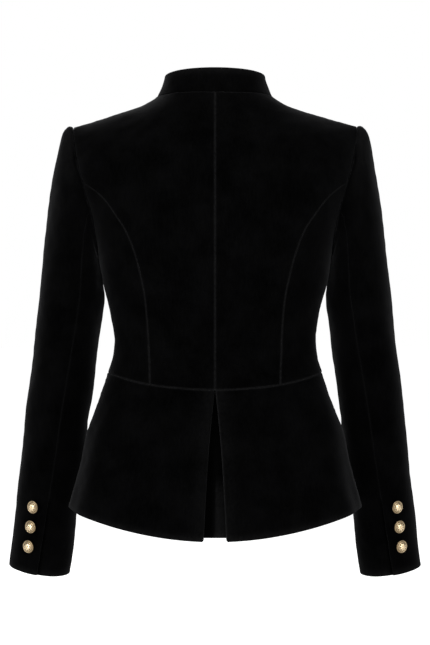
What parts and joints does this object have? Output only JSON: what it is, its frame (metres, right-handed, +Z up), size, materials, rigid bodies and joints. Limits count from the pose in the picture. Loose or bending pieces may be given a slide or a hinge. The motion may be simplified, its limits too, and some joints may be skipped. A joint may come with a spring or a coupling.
{
  "type": "trachten jacket",
  "caption": "Fitted velvet jacket with a stand collar, long sleeves, a flared peplum with an inverted back pleat, and domed metal buttons.",
  "frame": {"origin": "on the centre plane in the middle of the neck opening, level with the collar seam at the shoulder", "axes": "+Z up, +X to the wearer's left, +Y to the wearer's back, -Y to the front where it buttons"},
  "size_m": [0.5448, 0.2621, 0.6599],
  "materials": {
    "velvet": "black cotton velvet with a soft sheen at grazing angles",
    "button_metal": "antique gold, cast and softly polished"
  },
  "bodies": {
    "root": {"back_left": "velvet", "back_right": "velvet", "side_back_left": "velvet", "side_back_right": "velvet", "front_left": "velvet", "front_right": "velvet", "side_front_left": "velvet", "side_front_right": "velvet", "collar": "velvet", "peplum_back_left": "velvet", "peplum_back_right": "velvet", "peplum_front_left": "velvet", "peplum_front_right": "velvet", "pleat_underlay": "velvet", "sleeve_upper_left": "velvet", "sleeve_upper_right": "velvet", "sleeve_under_left": "velvet", "sleeve_under_right": "velvet", "cuff_button_left_1": "button_metal", "cuff_button_left_2": "button_metal", "cuff_button_left_3": "button_metal", "cuff_button_right_1": "button_metal", "cuff_button_right_2": "button_metal", "cuff_button_right_3": "button_metal", "front_button_1": "button_metal", "front_button_2": "button_metal", "front_button_3": "button_metal", "front_button_4": "button_metal", "front_button_5": "button_metal", "front_button_6": "button_metal"}
  },
  "joints": []
}
